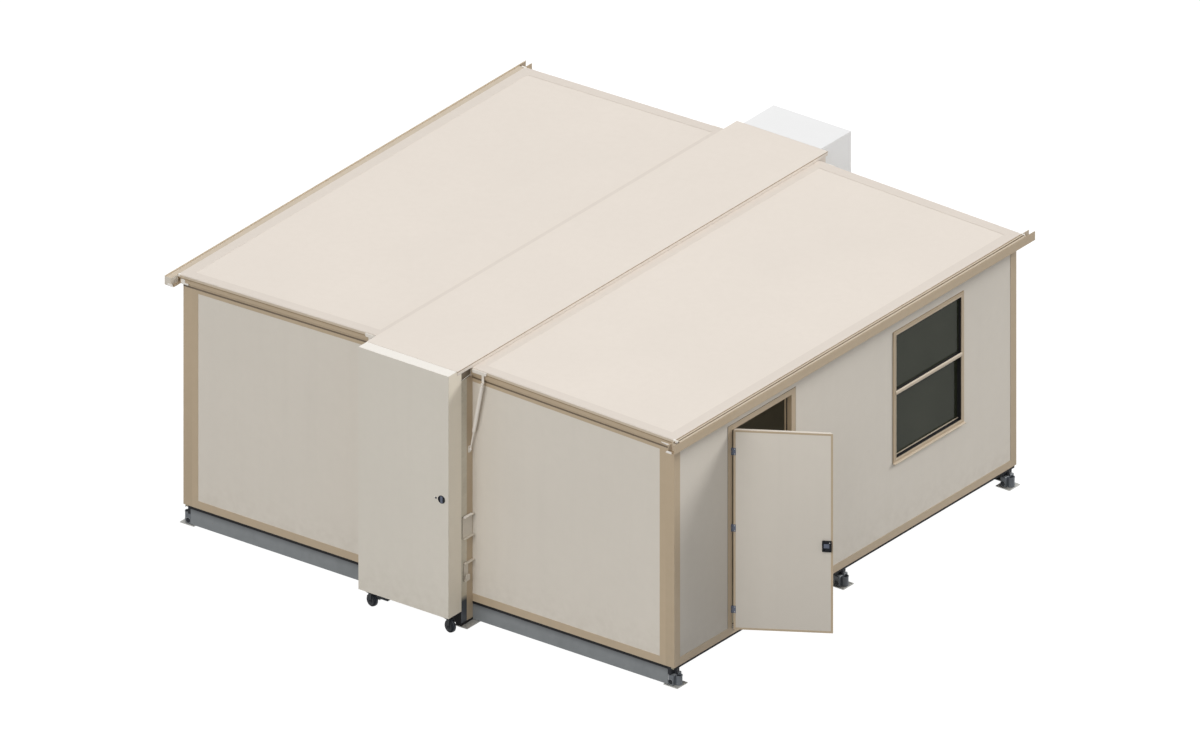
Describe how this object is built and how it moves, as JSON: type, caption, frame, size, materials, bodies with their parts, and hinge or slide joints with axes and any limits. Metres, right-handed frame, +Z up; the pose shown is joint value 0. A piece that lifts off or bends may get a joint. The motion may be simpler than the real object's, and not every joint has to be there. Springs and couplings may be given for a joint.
{
  "type": "rigid-wall shelter",
  "caption": "Folding rigid-wall cabin set up for use: a narrow core with a wing on each side, shallow roofs, door, windows and jack feet.",
  "frame": {"origin": "on the ground, under the middle of the wall box's width and length", "axes": "+X towards the side wall with the door, -Y towards the front with the utility cover, +Z up"},
  "size_m": [6.5521, 6.269, 2.66],
  "materials": {
    "roof_skin": "matt cream roof membrane",
    "wall_panel": "satin cream painted panel",
    "tan_trim": "satin tan painted trim",
    "floor_deck": "matt vinyl deck",
    "galvanised": "galvanised steel",
    "beam_paint": "blue-grey painted steel",
    "chassis_paint": "dark painted steel",
    "black_fitting": "black lock parts",
    "caster_tyre": "dark rubber",
    "dark_glass": "tinted glass",
    "white_cabinet": "light grey-white painted sheet",
    "cover_skin": "satin cream painted sheet"
  },
  "bodies": {
    "shelter": {"core_floor": "floor_deck", "left_floor": "floor_deck", "right_floor": "floor_deck", "core_chassis": "chassis_paint", "caster_plates": "chassis_paint", "cross_beams": "beam_paint", "levelling_feet": "beam_paint", "foot_plates": "galvanised", "core_base_plates": "galvanised", "core_posts": "galvanised", "core_jambs": "tan_trim", "front_bulkhead": "wall_panel", "back_bulkhead": "wall_panel", "core_roof": "roof_skin", "left_roof": "roof_skin", "right_roof": "roof_skin", "left_gutter": "tan_trim", "right_gutter": "tan_trim", "corner_posts": "tan_trim", "front_left_wall": "wall_panel", "front_right_wall": "wall_panel", "back_left_wall": "wall_panel", "back_right_wall": "wall_panel", "end_wall_frames": "tan_trim", "right_wall_front": "wall_panel", "right_wall_over_door": "wall_panel", "right_wall_back": "wall_panel", "left_side_wall": "wall_panel", "side_wall_rails": "tan_trim", "door_frame": "tan_trim", "door_hinges": "beam_paint", "window_frames": "tan_trim", "window_glass": "dark_glass", "roof_struts": "cover_skin", "panel_latches": "cover_skin", "air_conditioner": "white_cabinet", "cover_hinges": "galvanised"},
    "door": {"door_leaf": "wall_panel", "door_hinge_straps": "beam_paint", "door_lock": "black_fitting"},
    "cover": {"utility_cover": "cover_skin", "cover_hinge_straps": "galvanised", "cover_lock": "black_fitting"},
    "front_left_swivel": {"front_left_fork": "chassis_paint"},
    "front_right_swivel": {"front_right_fork": "chassis_paint"},
    "back_left_swivel": {"back_left_fork": "chassis_paint"},
    "back_right_swivel": {"back_right_fork": "chassis_paint"},
    "front_left_roller": {"front_left_wheel": "caster_tyre"},
    "front_right_roller": {"front_right_wheel": "caster_tyre"},
    "back_left_roller": {"back_left_wheel": "caster_tyre"},
    "back_right_roller": {"back_right_wheel": "caster_tyre"}
  },
  "joints": [
    {"name": "door_hinge", "type": "hinge", "parent": "shelter", "child": "door", "pos_m": [2.828, -1.736, 1.2], "axis": [0, 0, -1], "range_deg": [-58.5, 51.5]},
    {"name": "cover_hinge", "type": "hinge", "parent": "shelter", "child": "cover", "pos_m": [-0.526, -2.8, 1.4], "axis": [0, 0, -1], "range_deg": [0, 100]},
    {"name": "front_left_swivel_turn", "type": "hinge", "parent": "shelter", "child": "front_left_swivel", "pos_m": [-0.448, -2.93, 0.14], "axis": [0, 0, 1], "continuous": true},
    {"name": "front_left_wheel_spin", "type": "hinge", "parent": "front_left_swivel", "child": "front_left_roller", "pos_m": [-0.40936, -2.94035, 0.066], "axis": [0.2588, 0.9659, 0], "continuous": true},
    {"name": "back_left_swivel_turn", "type": "hinge", "parent": "shelter", "child": "back_left_swivel", "pos_m": [-0.448, 2.93, 0.14], "axis": [0, 0, 1], "continuous": true},
    {"name": "back_left_wheel_spin", "type": "hinge", "parent": "back_left_swivel", "child": "back_left_roller", "pos_m": [-0.40936, 2.91965, 0.066], "axis": [0.2588, 0.9659, 0], "continuous": true},
    {"name": "front_right_swivel_turn", "type": "hinge", "parent": "shelter", "child": "front_right_swivel", "pos_m": [0.448, -2.93, 0.14], "axis": [0, 0, 1], "continuous": true},
    {"name": "front_right_wheel_spin", "type": "hinge", "parent": "front_right_swivel", "child": "front_right_roller", "pos_m": [0.48664, -2.94035, 0.066], "axis": [0.2588, 0.9659, 0], "continuous": true},
    {"name": "back_right_swivel_turn", "type": "hinge", "parent": "shelter", "child": "back_right_swivel", "pos_m": [0.448, 2.93, 0.14], "axis": [0, 0, 1], "continuous": true},
    {"name": "back_right_wheel_spin", "type": "hinge", "parent": "back_right_swivel", "child": "back_right_roller", "pos_m": [0.48664, 2.91965, 0.066], "axis": [0.2588, 0.9659, 0], "continuous": true}
  ]
}
